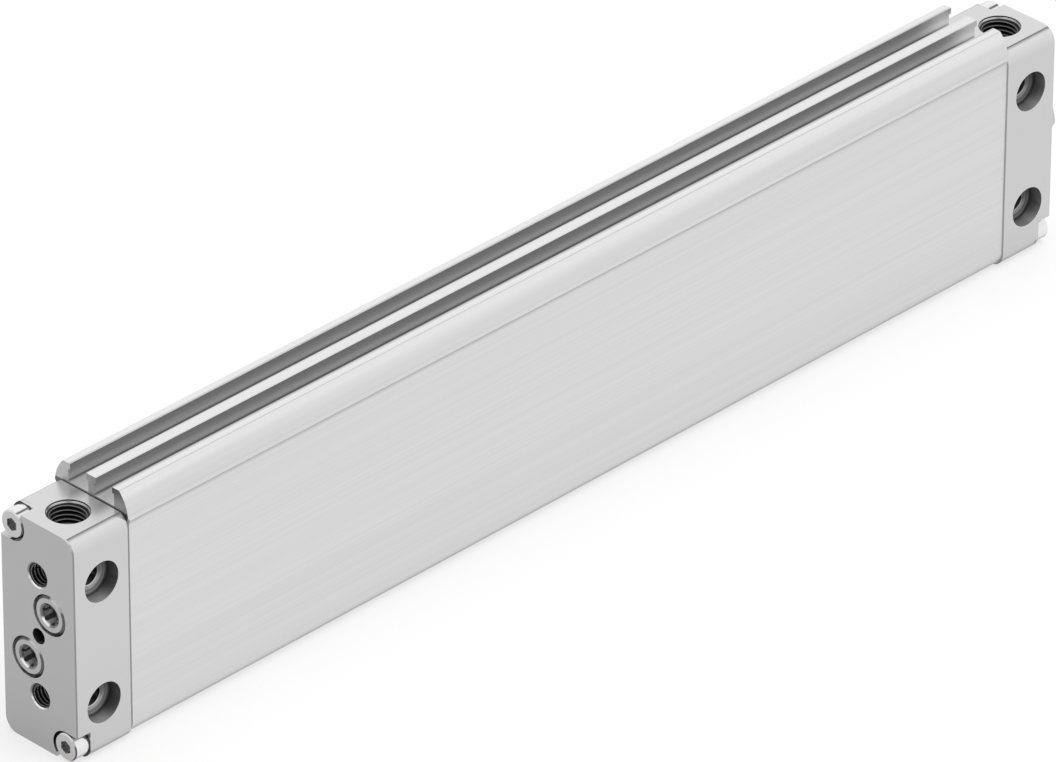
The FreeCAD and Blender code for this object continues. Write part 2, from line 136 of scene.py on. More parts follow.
class Graph:
    """Node tree of a material or of the world, with short ways to add what the looks need."""

    def __init__(self, tree):
        self.nodes = tree.nodes
        self.link = tree.links.new

    def feed(self, socket, value):
        """Sets a socket to a number, or links an output to it."""
        if isinstance(value, (int, float)):
            socket.default_value = value
        else:
            self.link(value, socket)

    def maths(self, operation, a, b=None):
        node = self.nodes.new("ShaderNodeMath")
        node.operation = operation
        self.feed(node.inputs[0], a)
        if b is not None:
            self.feed(node.inputs[1], b)
        return node.outputs[0]

    def product(self, first, *others):
        for other in others:
            first = self.maths("MULTIPLY", first, other)
        return first

    def minus(self, a, b):
        return self.maths("SUBTRACT", a, b)

    def larger(self, a, b):
        return self.maths("MAXIMUM", a, b)

    def size(self, value):
        return self.maths("ABSOLUTE", value)

    def distance(self, a, b):
        """Length of the diagonal whose two sides are a and b."""
        return self.maths("SQRT", self.maths("ADD", self.product(a, a), self.product(b, b)))

    def between(self, value, low, high, start=0.0, end=1.0):
        """Number that goes evenly from low to high while the value goes from start to end."""
        reach = self.nodes.new("ShaderNodeMapRange")
        for name, given in (("From Min", start), ("From Max", end), ("To Min", low), ("To Max", high)):
            self.feed(reach.inputs[name], given)
        self.link(value, reach.inputs["Value"])
        return reach.outputs["Result"]

    def slope(self, value, start, end, low, high):
        """Number that goes smoothly from low to high while the value goes from start to end."""
        result = self.between(value, low, high, start, end)
        result.node.interpolation_type = "SMOOTHSTEP"
        return result

    def rise(self, value, start, end):
        return self.slope(value, start, end, 0.0, 1.0)

    def fall(self, value, start, end):
        return self.slope(value, start, end, 1.0, 0.0)

    def toned(self, tone, mask):
        """Factor that is 1 where the mask is 0 and the tone where the mask is 1."""
        return self.between(mask, 1.0, tone)

    def place(self, source):
        return self.nodes.new("ShaderNodeTexCoord").outputs[source]

    def coordinate(self, axis):
        """One coordinate of the object's own place."""
        parts = self.nodes.new("ShaderNodeSeparateXYZ")
        self.link(self.place("Object"), parts.inputs[0])
        return parts.outputs[axis]

    def off_middle(self, axis):
        """The size of one coordinate of the object's own place."""
        return self.size(self.coordinate(axis))

    def along(self, source, direction):
        """How far the surface's normal, or a ray of the sky, points in a direction: 1 straight on."""
        dot = self.nodes.new("ShaderNodeVectorMath")
        dot.operation = "DOT_PRODUCT"
        dot.inputs[1].default_value = direction
        self.link(self.place(source), dot.inputs[0])
        return dot.outputs["Value"]

    def facing(self, direction):
        """How far the surface faces a direction: 1 straight on, -1 straight away."""
        return self.along("Normal", direction)

    def tilt(self, axis):
        """How far the surface faces along an axis, either way."""
        return self.size(self.facing(AXES[axis]))

    def openness(self, reach, samples):
        """0 where the part itself closes a surface in, within reach, and 1 where it lies open."""
        near = self.nodes.new("ShaderNodeAmbientOcclusion")
        near.only_local = True
        near.samples = samples
        near.inputs["Distance"].default_value = reach
        return near.outputs["AO"]

    def noise(self, scale):
        """Noise in the object's own place, with its own scale along each axis, per metre."""
        mapping = self.nodes.new("ShaderNodeMapping")
        mapping.inputs["Scale"].default_value = scale
        noise = self.nodes.new("ShaderNodeTexNoise")
        noise.inputs["Scale"].default_value = 1.0
        noise.inputs["Detail"].default_value = NOISE_DETAIL
        self.link(self.place("Object"), mapping.inputs["Vector"])
        self.link(mapping.outputs["Vector"], noise.inputs["Vector"])
        return noise.outputs["Fac"]

    def shade(self, value, dark, light):
        """Carries a noise value to a colour between dark and light."""
        ramp = self.nodes.new("ShaderNodeValToRGB")
        for element, position, colour in zip(ramp.color_ramp.elements, NOISE_RANGE, (dark, light)):
            element.position = position
            element.color = (*colour, 1)
        self.link(value, ramp.inputs["Fac"])
        return ramp.outputs["Color"]

    def multiplied(self, colour, factor):
        mix = self.nodes.new("ShaderNodeMix")
        mix.data_type = "RGBA"
        mix.blend_type = "MULTIPLY"
        mix.inputs["Factor"].default_value = 1.0
        self.link(colour, mix.inputs["A"])
        self.link(factor, mix.inputs["B"])
        return mix.outputs["Result"]

    def seen_directly(self):
        """1 for rays from the camera, from gloss and through glass, else 0."""
        path = self.nodes.new("ShaderNodeLightPath").outputs
        return self.larger(
            self.larger(path["Is Camera Ray"], path["Is Glossy Ray"]), path["Is Transmission Ray"])


def principled(name):
    """New material with its shader and graph."""
    material = bpy.data.materials.new(name)
    material.use_nodes = True
    return material, material.node_tree.nodes["Principled BSDF"], Graph(material.node_tree)


# Places that several tones share
def from_middle(g):
    """Distance along the cylinder from its middle."""
    return g.size(g.minus(g.coordinate("X"), HALF_LENGTH))


def from_cap_hole(g):
    """How far beyond the cross holes and ports, counted from the middle, a place lies."""
    return g.minus(from_middle(g), HALF_LENGTH - CAP_HOLE_X)


def screw_distance(g, y, z):
    """Distance from the nearer of two screws on a diagonal: one at y, z, one half a turn away."""
    height = g.coordinate("Z")
    across = g.product(g.coordinate("Y"), g.maths("SIGN", height))
    return g.distance(g.minus(across, y), g.minus(g.size(height), z))


def tie_distance(g):
    return screw_distance(g, TIE_Y, TIE_Z)


def flush_distance(g):
    return screw_distance(g, FLUSH_SCREW_Y, FLUSH_SCREW_Z)


def bore_distance(g):
    """Distance from the axis of the nearest cross hole."""
    return g.distance(from_cap_hole(g), g.minus(g.off_middle("Z"), CAP_HOLE_Z))


def outward(g, axis):
    """Facing along one axis, positive where it points away from the cylinder's middle."""
    return g.product(g.facing(AXES[axis]), g.maths("SIGN", g.coordinate(axis)))


# Painted light and shade that several finishes share
RECESS_SAMPLES = 8
RECESS_OPEN = (0.15, 0.95)
BEVEL_START = (0.4, 0.55)
BEVEL_END = (0.88, 0.95)
EDGE_UP = (0.2, 0.45)
DOWNWARD = (-0.22, -0.62)
UNDER_FADE = 3 * MM


def recess_shade(g, reach, depth):
    """Painted shade: darker inside holes and creases, where the part closes the surface in."""
    return g.slope(g.openness(reach, RECESS_SAMPLES), *RECESS_OPEN, depth, 1.0)


def end_face_shade(g, tone):
    """Milled faces across the cylinder's axis, darkened with painted shade."""
    return g.toned(tone, g.rise(g.tilt("X"), *SQUARE_ON))


def bevel_mask(g):
    """1 on edges that are broken at about 45 degrees to the cylinder's axis."""
    across = g.tilt("X")
    return g.product(g.rise(across, *BEVEL_START), g.fall(across, *BEVEL_END))


def edge_shade(g, tone):
    """Broken edges, apart from those that face up, darkened as a painted dark reflection."""
    return g.toned(tone, g.product(bevel_mask(g), g.fall(g.facing(UP), *EDGE_UP)))


def underside_shade(g, tone, below=None):
    """Faces turned to the ground, darkened with painted shade.

    A height for below leaves out what lies higher, such as the tops of holes.
    """
    turned = g.rise(g.facing(UP), *DOWNWARD)
    if below is not None:
        turned = g.product(turned, g.fall(g.coordinate("Z"), below - UNDER_FADE, below))
    return g.toned(tone, turned)


# Counterbores: where they are, and the painted light and shade of walls, floors and the rings from
# turning
BORE_EDGE = (5.2 * MM, 5.4 * MM)
NEAR_HALF = (-1 * MM, 0.0)
BELOW_SKIN = (rear_low.y + 0.03 * MM, rear_low.y + 0.1 * MM)
BORE_TURN = (0.1, 0.8)
BORE_LIT = 1.15
BORE_DARK = 0.5
BORE_FLOOR = (0.8, 0.9)
FLOOR_HEIGHT = (-3 * MM, 3.5 * MM)
FLOOR_LIT = 0.52
FLOOR_DARK = 0.26
GLINT = 2.4
GLINT_RADIUS = (2.9 * MM, 3.9 * MM)
GLINT_HEIGHT = (-2.2 * MM, -0.4 * MM)
RING_PITCH = 0.85 * MM
RING_TONE = 0.22
FRONT_LIT = 0.75
FRONT_DARK = 2.2
FRONT_FLOOR = 0.68


def bore_mask(g):
    """1 inside the counterbores of the cross holes."""
    across = g.coordinate("Y")
    within = g.fall(bore_distance(g), *BORE_EDGE)
    return g.product(within, g.fall(across, *NEAR_HALF), g.rise(across, *BELOW_SKIN))


def bore_light_and_shade(g):
    """Counterbores, in painted light and shade: walls dark where they turn from the light, floors
    lighter low down with a painted glint beside the through hole, and rings from turning.

    Those of the front cap have more even painted shade on their walls and darker floors.
    """
    at_front = g.rise(g.coordinate("X"), CAP_LENGTH, BARREL_END)
    turned = g.facing((-1, 0, 0))
    wall = g.slope(turned, *BORE_TURN, BORE_LIT, BORE_DARK)
    evener = g.slope(turned, *BORE_TURN, FRONT_LIT, FRONT_DARK)
    wall = g.product(wall, g.toned(evener, at_front))
    height = g.coordinate("Z")
    upwards = g.product(g.minus(g.size(height), CAP_HOLE_Z), g.maths("SIGN", height))
    from_axis = bore_distance(g)
    glint = g.product(g.fall(from_axis, *GLINT_RADIUS), g.fall(upwards, *GLINT_HEIGHT))
    wave = g.maths("SINE", g.product(from_axis, 2 * math.pi / RING_PITCH))
    level = g.product(
        g.slope(upwards, *FLOOR_HEIGHT, FLOOR_LIT, FLOOR_DARK),
        g.toned(GLINT, glint),
        g.slope(wave, -1.0, 1.0, 1 - RING_TONE, 1 + RING_TONE),
        g.toned(FRONT_FLOOR, at_front))
    within = bore_mask(g)
    on_floor = g.product(g.rise(g.tilt("Y"), *BORE_FLOOR), within)
    return g.between(on_floor, g.toned(wall, within), level)


# Pockets of the tie screws: how far the heads reach, the painted shade behind and beside them, and
# painted light in their free corners
HEAD_EDGE = (4.02 * MM, 4.12 * MM)
BACK_WALL = (0.05 * MM, 0.1 * MM)
POCKET_CORNER = 1.4
POCKET_TONE = 0.1
POCKET_END = (HALF_LENGTH - 5.3 * MM, HALF_LENGTH - 5.1 * MM)
OPEN_SIDE = (0.0, 2.0 * MM)
BACK_FACE = (0.4, 0.6)
SKIN_TOP = (CAP_TOP - 0.12 * MM, CAP_TOP - 0.05 * MM)
SKIN_SIDE = (CAP_SIDE - 0.12 * MM, CAP_SIDE - 0.05 * MM)


def pocket_corner_light(g):
    """Back walls of the tie screws' pockets, with painted light in the corners that the heads leave
    free.
    """
    off_wall = g.size(g.minus(from_middle(g), HALF_LENGTH - POCKET_DEPTH))
    free = g.slope(tie_distance(g), *HEAD_EDGE, 0.0, POCKET_CORNER)
    return g.product(g.fall(off_wall, *BACK_WALL), g.rise(g.tilt("X"), *SQUARE_ON), free)


def pocket_tone(g):
    """Walls that follow the tie screws' heads, in deep shade, at either end of the cylinder."""
    open_side = g.slope(g.minus(g.off_middle("Z"), TIE_Z), *OPEN_SIDE, POCKET_TONE, 1.0)
    back_wall = g.slope(g.tilt("X"), *BACK_FACE, 1.0, POCKET_TONE)
    skin = g.larger(g.rise(g.off_middle("Z"), *SKIN_TOP), g.rise(g.off_middle("Y"), *SKIN_SIDE))
    tone = g.larger(g.maths("MINIMUM", open_side, back_wall), skin)
    beside = g.product(g.rise(from_middle(g), *POCKET_END), g.fall(tie_distance(g), *HEAD_EDGE))
    return g.toned(tone, beside)


# Holes in the caps: painted shade by depth and at the step in the counterbores, and painted light on the
# seats of the flush screws
HOLE_REACH = 8 * MM
HOLE_SAMPLES = 16
HOLE_OPEN = (0.0, 0.9)
HOLE_DEEP = 0.14
HOLE_INSIDE = (0.7, 0.95)
WALL_LIGHT = (0.7, 0.0, 0.7)
WALL_TURN = (-0.4, 0.8)
WALL_DARK = 0.5
STEP_EDGE = (0.1 * MM, 0.25 * MM)
STEP_TONE = 0.45
SEAT_EDGE = (5.25 * MM, 5.29 * MM)
SEAT_DEPTH = (6 * MM, 8 * MM)
SEAT_TONE = 1.4


def hole_shade(g):
    """The cap's holes, in painted shade: dark with depth and on walls that turn from the light.

    A painted dark line marks the step at the foot of each counterbore. The seats of the flush screws and
    the free corners of the tie screws' pockets are painted lighter.
    """
    openness = g.openness(HOLE_REACH, HOLE_SAMPLES)
    depth = g.slope(openness, *HOLE_OPEN, HOLE_DEEP, 1.0)
    inside = g.fall(openness, *HOLE_INSIDE)
    lit = g.larger(g.slope(g.facing(WALL_LIGHT), *WALL_TURN, WALL_DARK, 1.0), bore_mask(g))
    off_step = g.size(g.minus(g.coordinate("Y"), COUNTERBORE_Y))
    step = g.slope(off_step, *STEP_EDGE, STEP_TONE, 1.0)
    holes = g.product(depth, g.toned(g.product(lit, step), inside))
    at_rear = g.slope(g.coordinate("X"), *SEAT_DEPTH, SEAT_TONE, 0.0)
    seats = g.product(g.fall(flush_distance(g), *SEAT_EDGE), at_rear)
    return g.larger(g.larger(holes, seats), pocket_corner_light(g))


# Supply ports: their rim, and the painted light and shade on the cone round it
PORT_EDGE = (5.22 * MM, 5.26 * MM)
PORT_MOUTH = (CAP_TOP - 2 * MM, CAP_TOP - 1.5 * MM)
PORT_LIP = 0.2
PORT_FRONT = (-0.71, -0.7, 0)
CONE_UP = (0.3, 0.5)
CONE_TURN = (0.35, 0.55)
CONE_SIDE = 0.4
CONE_FRONT = 0.75
SPOT_TURN = (0.69, 0.705)
CONE_SPOT = 0.6
BELOW_TOP = (0.9, 0.97)


def port_shade(g):
    """Supply ports, in painted shade: the lip's wall darkened, and the cone below it a little dull, most
    on its sides, as a painted dark reflection.
    """
    from_axis = g.distance(from_cap_hole(g), g.minus(g.coordinate("Y"), PORT_Y))
    up = g.facing(UP)
    around = g.facing(PORT_FRONT)
    cone = g.product(
        g.slope(around, *CONE_TURN, CONE_SIDE, CONE_FRONT),
        g.slope(around, *SPOT_TURN, 1.0, CONE_SPOT))
    tone = g.between(g.rise(up, *CONE_UP), PORT_LIP, cone)
    mouth = g.product(g.fall(from_axis, *PORT_EDGE), g.rise(g.coordinate("Z"), *PORT_MOUTH))
    return g.toned(tone, g.product(mouth, g.fall(up, *BELOW_TOP)))


# Other tones and finishes of the caps
MOUTH_EDGE = (3.4 * MM, 3.6 * MM)
MOUTH_LIGHT = (0, -0.5, 0.86)
MOUTH_TURN = (0.35, 0.6)
MOUTH_LIT = 2.2
TOP_HEIGHT = (CAP_TOP - 3 * MM, CAP_TOP - 2 * MM)
TOP_METAL = 0.9
CAP_BLUR = 1.7
CREASE_IN = (0.77, 0.93)
CREASE_OUT = (0.95, 0.97)
CREASE_ALONG = (0.1, 0.3)
CREASE_TONE = 0.45


def mouth_highlight(g):
    """Countersunk mouths of the end threads, with a painted highlight where they face up."""
    mouth = g.fall(screw_distance(g, 0.0, CAP_HOLE_Z), *MOUTH_EDGE)
    up = g.rise(g.facing(MOUTH_LIGHT), *MOUTH_TURN)
    return g.toned(MOUTH_LIT, g.product(mouth, up, bevel_mask(g)))


def cap_top(g):
    """1 on the caps' tops."""
    return g.product(g.rise(g.coordinate("Z"), *TOP_HEIGHT), g.rise(g.facing(UP), *SQUARE_ON))


def blurred_cap(g):
    """1 where the caps' reflections are soft: on their tops and in their counterbores."""
    return g.larger(cap_top(g), bore_mask(g))


def crease_tone(g):
    """Shade where the cap's rounded sides meet its top."""
    up = g.facing(UP)
    along = g.fall(g.tilt("X"), *CREASE_ALONG)
    return g.toned(CREASE_TONE, g.product(g.rise(up, *CREASE_IN), g.fall(up, *CREASE_OUT), along))


# Tie screws: painted shade on the sides of the heads in the pocket and as a dark line on their backs,
# and painted highlights on the rims
HEAD_INWARD = (-0.6, -0.2)
HEAD_RIM = (2.9 * MM, 3.1 * MM)
HEAD_BACK = (0, 0.66, 0.75)
HEAD_LINE_EDGE = (0.93, 0.97)
HEAD_LINE = 0.5
INNER_EDGE = (0.74, 0.78)
INNER_RIM = 1.55
INNER_DULL = 0.32


def shaded_head_tone(g):
    """Painted shade on the sides of the tie screws' heads that face the wall of their pocket."""
    inward = g.fall(g.maths("ADD", outward(g, "Y"), outward(g, "Z")), *HEAD_INWARD)
    rim = g.rise(tie_distance(g), *HEAD_RIM)
    return g.toned(POCKET_TONE, g.product(inward, g.fall(g.tilt("X"), *WALL), rim))


def head_back_shade(g):
    """Painted shade: a dark line along the backs of the tie screws' heads."""
    return g.toned(HEAD_LINE, g.rise(g.facing(HEAD_BACK), *HEAD_LINE_EDGE))


def rim_highlight(g, towards, start, end, dull, bright):
    """Turned rims of the screws: a painted highlight where they turn towards a direction, a painted dull
    reflection elsewhere.

    Start and end are cosines, measured round the screw, between which dull goes to bright.
    The inner rim of a recess, which is flatter, has its own bright and dull.
    """
    across = g.tilt("X")
    around = g.maths("SQRT", g.minus(1.0, g.product(across, across)))
    turned = g.maths("DIVIDE", g.facing(towards), around)
    shine = g.product(g.rise(turned, start, end), g.slope(across, *INNER_EDGE, bright, INNER_RIM))
    lit = g.larger(shine, g.slope(across, *INNER_EDGE, dull, INNER_DULL))
    return g.toned(lit, bevel_mask(g))


# Flush screws: the six-lobed recess and the rim of the head
CORE_EDGE = (2.2 * MM, 2.4 * MM)
RIM_START = (3.8 * MM, 4.2 * MM)
LOBE_END = (3.0 * MM, 3.2 * MM)
LEDGE_EDGE = (2.3 * MM, 2.4 * MM)
CONE_EDGE = (2.55 * MM, 2.8 * MM)
CONE_FACE = (0.5, 0.7)
LOBE_TONE = 0.5
CONE_TONE = 0.35
RECESS_LIT = 1.6
PRESSED_METAL = 0.3


def recess_core(g):
    """1 on the walls of the flush screws' recesses."""
    return g.product(g.fall(flush_distance(g), *CORE_EDGE), g.fall(g.tilt("X"), *WALL))


def pressed_mask(g):
    """1 on the walls of the flush screws' recesses and on the rims of their heads."""
    rims = g.product(bevel_mask(g), g.rise(flush_distance(g), *RIM_START))
    return g.larger(recess_core(g), rims)


def lobe_shade_and_light(g):
    """Painted shade on the ends of the six lobes and on the recess's ledge and cone, and painted light
    on its core.
    """
    distance = flush_distance(g)
    across = g.tilt("X")
    ends = g.product(
        g.rise(distance, *CORE_EDGE), g.fall(distance, *LOBE_END), g.fall(across, *WALL))
    ledge = g.product(g.fall(distance, *LEDGE_EDGE), g.rise(across, *SQUARE_ON))
    cone = g.product(g.fall(distance, *CONE_EDGE), g.rise(across, *CONE_FACE))
    return g.product(
        g.toned(LOBE_TONE, g.larger(ends, ledge)),
        g.toned(CONE_TONE, cone),
        g.toned(RECESS_LIT, recess_core(g)))


# Threads
CREST_RANGE = (0.55, 1.0)
VALLEY_TONE = 0.05


def valley_shade(g):
    """Threads: painted shade darkens the valleys, so that only the crests look lit."""
    crest = g.nodes.new("ShaderNodeAttribute")
    crest.attribute_name = CREST
    return g.slope(crest.outputs["Fac"], *CREST_RANGE, VALLEY_TONE, 1.0)


# Barrel: flanks, ledges, and painted dark lines along the rails' edges as middle, half width and tone
FLANK_FOOT = (0.05, 0.3)
FLANK_LOW = 0.94
FLANK_ROUND = (0.4, 0.62)
FLANK_LIFT = 1.1
FLANK_TOP = (0.93, 0.98)
FLAT_TOP = 0.965
HOLLOW_BELOW = (LEDGE_Z - 1.7 * MM, LEDGE_Z)
HOLLOW_ABOVE = (LEDGE_Z + 0.02 * MM, LEDGE_Z + 0.1 * MM)
FLANK_OUTSIDE = (0.6, 0.8)
LEDGE_TONE = 0.76
FLANK_LINE_Z = LEDGE_Z + 1.3 * MM
FLANK_LINE_EDGE = (0.1 * MM, 0.5 * MM)
FLANK_LINE = 0.94
RAIL_HIGH = (RAIL_TOP - 0.3 * MM, RAIL_TOP - 0.2 * MM)
RAIL_SLANT = (0.75, 0.85)
RAIL_FLAT = (0.94, 0.97)
RAIL_EDGE = 0.9
EDGE_LINES = ((1.22 * MM, 0.15 * MM, 0.85), (7.1 * MM, 0.35 * MM, 0.76))
EDGE_LINE_FADE = 0.1 * MM


def flank_light(g):
    """The barrel's flanks, in painted light and shade: a little dull above the ledge, brighter the more
    they face up.
    """
    up = g.facing(UP)
    return g.product(
        g.slope(up, *FLANK_FOOT, 1.0, FLANK_LOW),
        g.slope(up, *FLANK_ROUND, 1.0, FLANK_LIFT),
        g.slope(up, *FLANK_TOP, 1.0, FLAT_TOP))


def ledge_tone(g):
    """Soft shade in the hollow below the barrel's ledges, and a faint die line above them."""
    height = g.coordinate("Z")
    outside = g.rise(g.tilt("Y"), *FLANK_OUTSIDE)
    hollow = g.product(g.rise(height, *HOLLOW_BELOW), g.fall(height, *HOLLOW_ABOVE), outside)
    from_line = g.size(g.minus(height, FLANK_LINE_Z))
    line = g.product(g.fall(from_line, *FLANK_LINE_EDGE), outside)
    return g.product(g.toned(LEDGE_TONE, hollow), g.toned(FLANK_LINE, line))


def rail_edge_shade(g):
    """Painted shade on the rails: darker broken outer edges, and faint dark lines along each slot."""
    high = g.rise(g.coordinate("Z"), *RAIL_HIGH)
    up = g.facing(UP)
    slanted = g.product(g.rise(up, *RAIL_SLANT), g.fall(up, *RAIL_FLAT), high)
    flat = g.product(g.rise(up, *RAIL_FLAT), high)
    across = g.off_middle("Y")
    result = g.toned(RAIL_EDGE, slanted)
    for middle, half_width, tone in EDGE_LINES:
        from_line = g.size(g.minus(across, middle))
        line = g.fall(from_line, half_width - EDGE_LINE_FADE, half_width)
        result = g.product(result, g.toned(tone, g.product(line, flat)))
    return result


# Sensor slots: their place, the painted shade on the walls, and the painted light at the mouth at the
# front
SLOT_SIDE = (8.0 * MM, 8.1 * MM)
SLOT_BASE = (SLOT_FLOOR - 0.4 * MM, SLOT_FLOOR - 0.2 * MM)
SLOT_WALL = (0.5, 0.7)
SLOT_LOW = 0.73
SLOT_HIGH = 0.53
SLOT_CORNER_TOP = (SLOT_FLOOR + 0.2 * MM, SLOT_FLOOR + 0.55 * MM)
SLOT_CORNER = 0.55
SLOT_MOUTH = BARREL_END - 14 * MM
SLOT_OPEN = BARREL_END - 2 * MM
SLOT_END = 1.6


def slot_shade(g):
    """Walls of the sensor slots, in painted shade: darkest at the lip and in the corner below, lighter
    towards the mouth at the front.
    """
    height = g.coordinate("Z")
    along = g.coordinate("X")
    inside = g.product(g.fall(g.off_middle("Y"), *SLOT_SIDE), g.rise(height, *SLOT_BASE))
    wall = g.product(g.fall(g.tilt("X"), *WALL), g.fall(g.tilt("Z"), *SLOT_WALL))
    corner = g.larger(
        g.slope(height, *SLOT_CORNER_TOP, SLOT_CORNER, 1.0), g.rise(along, SLOT_MOUTH, SLOT_OPEN))
    tone = g.product(
        g.slope(height, SLOT_FLOOR, RAIL_TOP, SLOT_LOW, SLOT_HIGH),
        corner,
        g.slope(along, SLOT_MOUTH, BARREL_END, 1.0, SLOT_END))
    return g.toned(tone, g.product(inside, wall))


# Sawn ends of the barrel: painted shade across them and up the near side, and the dark joint below
SAWN_WIDTH = (-9 * MM, 9 * MM)
SAWN_NEAR = 0.42
SAWN_FAR = 0.72
NEAR_RAIL = (-6 * MM, -4 * MM)
NEAR_FOOT = 1.35
NEAR_TOP = 0.8
JOINT_HEIGHT = (CAP_TOP - 0.05 * MM, CAP_TOP + 0.1 * MM)
JOINT_TONE = 0.25


def sawn_end_shade(g):
    """Sawn ends of the barrel, in painted light and shade: duller towards the near side, and dark in the
    joint below the cap's top.
    """
    place = g.coordinate("Y")
    height = g.coordinate("Z")
    near = g.slope(height, CAP_TOP, RAIL_TOP, NEAR_FOOT, NEAR_TOP)
    tone = g.product(
        g.slope(place, *SAWN_WIDTH, SAWN_NEAR, SAWN_FAR),
        g.toned(near, g.fall(place, *NEAR_RAIL)),
        g.slope(height, *JOINT_HEIGHT, JOINT_TONE, 1.0))
    return g.toned(tone, g.rise(g.tilt("X"), *SQUARE_ON))


def finish_material(
        name, colour, variation, metallic, roughness, bump, grain=EVEN, tones=(), polish=0.12,
        metal=None, blur=None):
    """A finish whose colour, roughness and relief follow one stretched grain, changed by its tones,
    mostly painted light and shade.

    Roughness goes up and down with the grain by the share that polish gives.
    A mask and a value for metal give what the mask covers another metallic value.
    A mask and a factor for blur make what the mask covers rougher, as another cut does.
    """
    material, shader, g = principled(name)
    shader.inputs["Metallic"].default_value = metallic
    if metal:
        covered, other = metal
        g.link(g.slope(covered(g), 0.0, 1.0, metallic, other), shader.inputs["Metallic"])
    value = g.noise(grain)
    dark = tuple(c * (1 - variation) for c in colour)
    light = tuple(c * (1 + variation) for c in colour)
    shown = g.shade(value, dark, light)
    for tone in tones:
        shown = g.multiplied(shown, tone(g))
    g.link(shown, shader.inputs["Base Color"])
    gloss = g.between(value, roughness * (1 + polish), roughness * (1 - polish), *NOISE_RANGE)
    if blur:
        covered, factor = blur
        gloss = g.product(gloss, g.toned(factor, covered(g)))
    g.link(gloss, shader.inputs["Roughness"])
    relief = g.nodes.new("ShaderNodeBump")
    relief.inputs["Distance"].default_value = bump
    relief.inputs["Strength"].default_value = RELIEF
    g.link(value, relief.inputs["Height"])
    g.link(relief.outputs["Normal"], shader.inputs["Normal"])
    return material


BARREL_TONES = (
    partial(recess_shade, reach=1.5 * MM, depth=0.35), slot_shade, sawn_end_shade, flank_light,
    partial(edge_shade, tone=0.5), partial(underside_shade, tone=0.6), ledge_tone, rail_edge_shade)
CAP_TONES = (
    hole_shade, pocket_tone, bore_light_and_shade, port_shade, partial(end_face_shade, tone=0.75),
    partial(underside_shade, tone=0.4, below=BASE_Z + 8 * MM), partial(edge_shade, tone=0.5),
    mouth_highlight, crease_tone)
SCREW_TONES = (
    partial(recess_shade, reach=2 * MM, depth=0.7), partial(end_face_shade, tone=0.63),
    shaded_head_tone, head_back_shade, partial(underside_shade, tone=0.4),
    partial(rim_highlight, towards=(0, 0.35, 0.94), start=-0.1, end=0.35, dull=0.12, bright=0.85))
FLUSH_TONES = (
    lobe_shade_and_light, partial(end_face_shade, tone=0.75),
    partial(rim_highlight, towards=(0, -0.5, 0.86), start=0.8, end=0.95, dull=0.26, bright=1.5))
FINISHES = {
    "barrel_anodised": dict(
        colour=(0.76, 0.76, 0.76), variation=0.024, metallic=0.7, roughness=0.38, bump=1e-6,
        grain=(DRAWN_LONG, DRAWN, DRAWN), tones=BARREL_TONES),
    "cap_anodised": dict(
        colour=(0.68, 0.68, 0.68), variation=0.004, metallic=0.65, roughness=0.18, bump=1e-7,
        tones=CAP_TONES, polish=0.01, metal=(cap_top, TOP_METAL), blur=(blurred_cap, CAP_BLUR)),
    # The threads' finishes are darker than their parts: partly oil in the cut, partly painted shade.
    "cap_thread_oil_and_shade": dict(
        colour=(0.22, 0.22, 0.22), variation=0.05, metallic=0.7, roughness=0.35, bump=1e-6,
        tones=(valley_shade,)),
    "rod_thread_oil_and_shade": dict(
        colour=(0.4, 0.4, 0.4), variation=0.05, metallic=0.9, roughness=0.3, bump=1e-6,
        tones=(valley_shade,)),
    "fastener_steel": dict(
        colour=(0.84, 0.84, 0.84), variation=0.01, metallic=0.9, roughness=0.15, bump=1e-7,
        tones=SCREW_TONES, polish=0.02),
    "flush_screw_steel": dict(
        colour=(0.6, 0.6, 0.6), variation=0.01, metallic=0.8, roughness=0.25, bump=1e-7,
        tones=FLUSH_TONES, polish=0.02, metal=(pressed_mask, PRESSED_METAL)),
    "rod_steel": dict(
        colour=(0.56, 0.565, 0.57), variation=0.02, metallic=0.95, roughness=0.15, bump=5e-7,
        grain=(FINE, GROUND, GROUND)),
    "inner_steel": dict(
        colour=(0.56, 0.56, 0.55), variation=0.04, metallic=0.9, roughness=0.35, bump=1e-6),
    "inner_aluminium": dict(
        colour=(0.7, 0.7, 0.71), variation=0.03, metallic=0.8, roughness=0.4, bump=1e-6),
    "seal_rubber": dict(
        colour=(0.018, 0.018, 0.019), variation=0.2, metallic=0.0, roughness=0.55, bump=2e-6),
    "bumper_rubber": dict(
        colour=(0.05, 0.05, 0.055), variation=0.2, metallic=0.0, roughness=0.6, bump=2e-6),
    "guide_plastic": dict(
        colour=(0.12, 0.1, 0.07), variation=0.1, metallic=0.0, roughness=0.45, bump=1e-6),
    "magnet_plastic": dict(
        colour=(0.08, 0.08, 0.085), variation=0.15, metallic=0.0, roughness=0.5, bump=2e-6),
    "bush_bronze": dict(
        colour=(0.62, 0.42, 0.22), variation=0.06, metallic=0.9, roughness=0.35, bump=1e-6),
}
materials = {name: finish_material(name, **finish) for name, finish in FINISHES.items()}


def dress_nodes():
    """Gives every CAD node the finish of its own material slot."""
    for entry in frame["record"]["subparts"]:
        slots = nodes[entry["node"]].data.materials
        slots.clear()
        slots.append(materials[entry["material_slot"]])


def join_rings(mesh, rings):
    """Closes a ring of rings with faces, each ring to the next and the last to the first."""
    for a, b in zip(rings, rings[1:] + rings[:1]):
        for step in range(ROUND_STEPS):
            following = (step + 1) % ROUND_STEPS
            mesh.faces.new((a[step], a[following], b[following], b[step]))


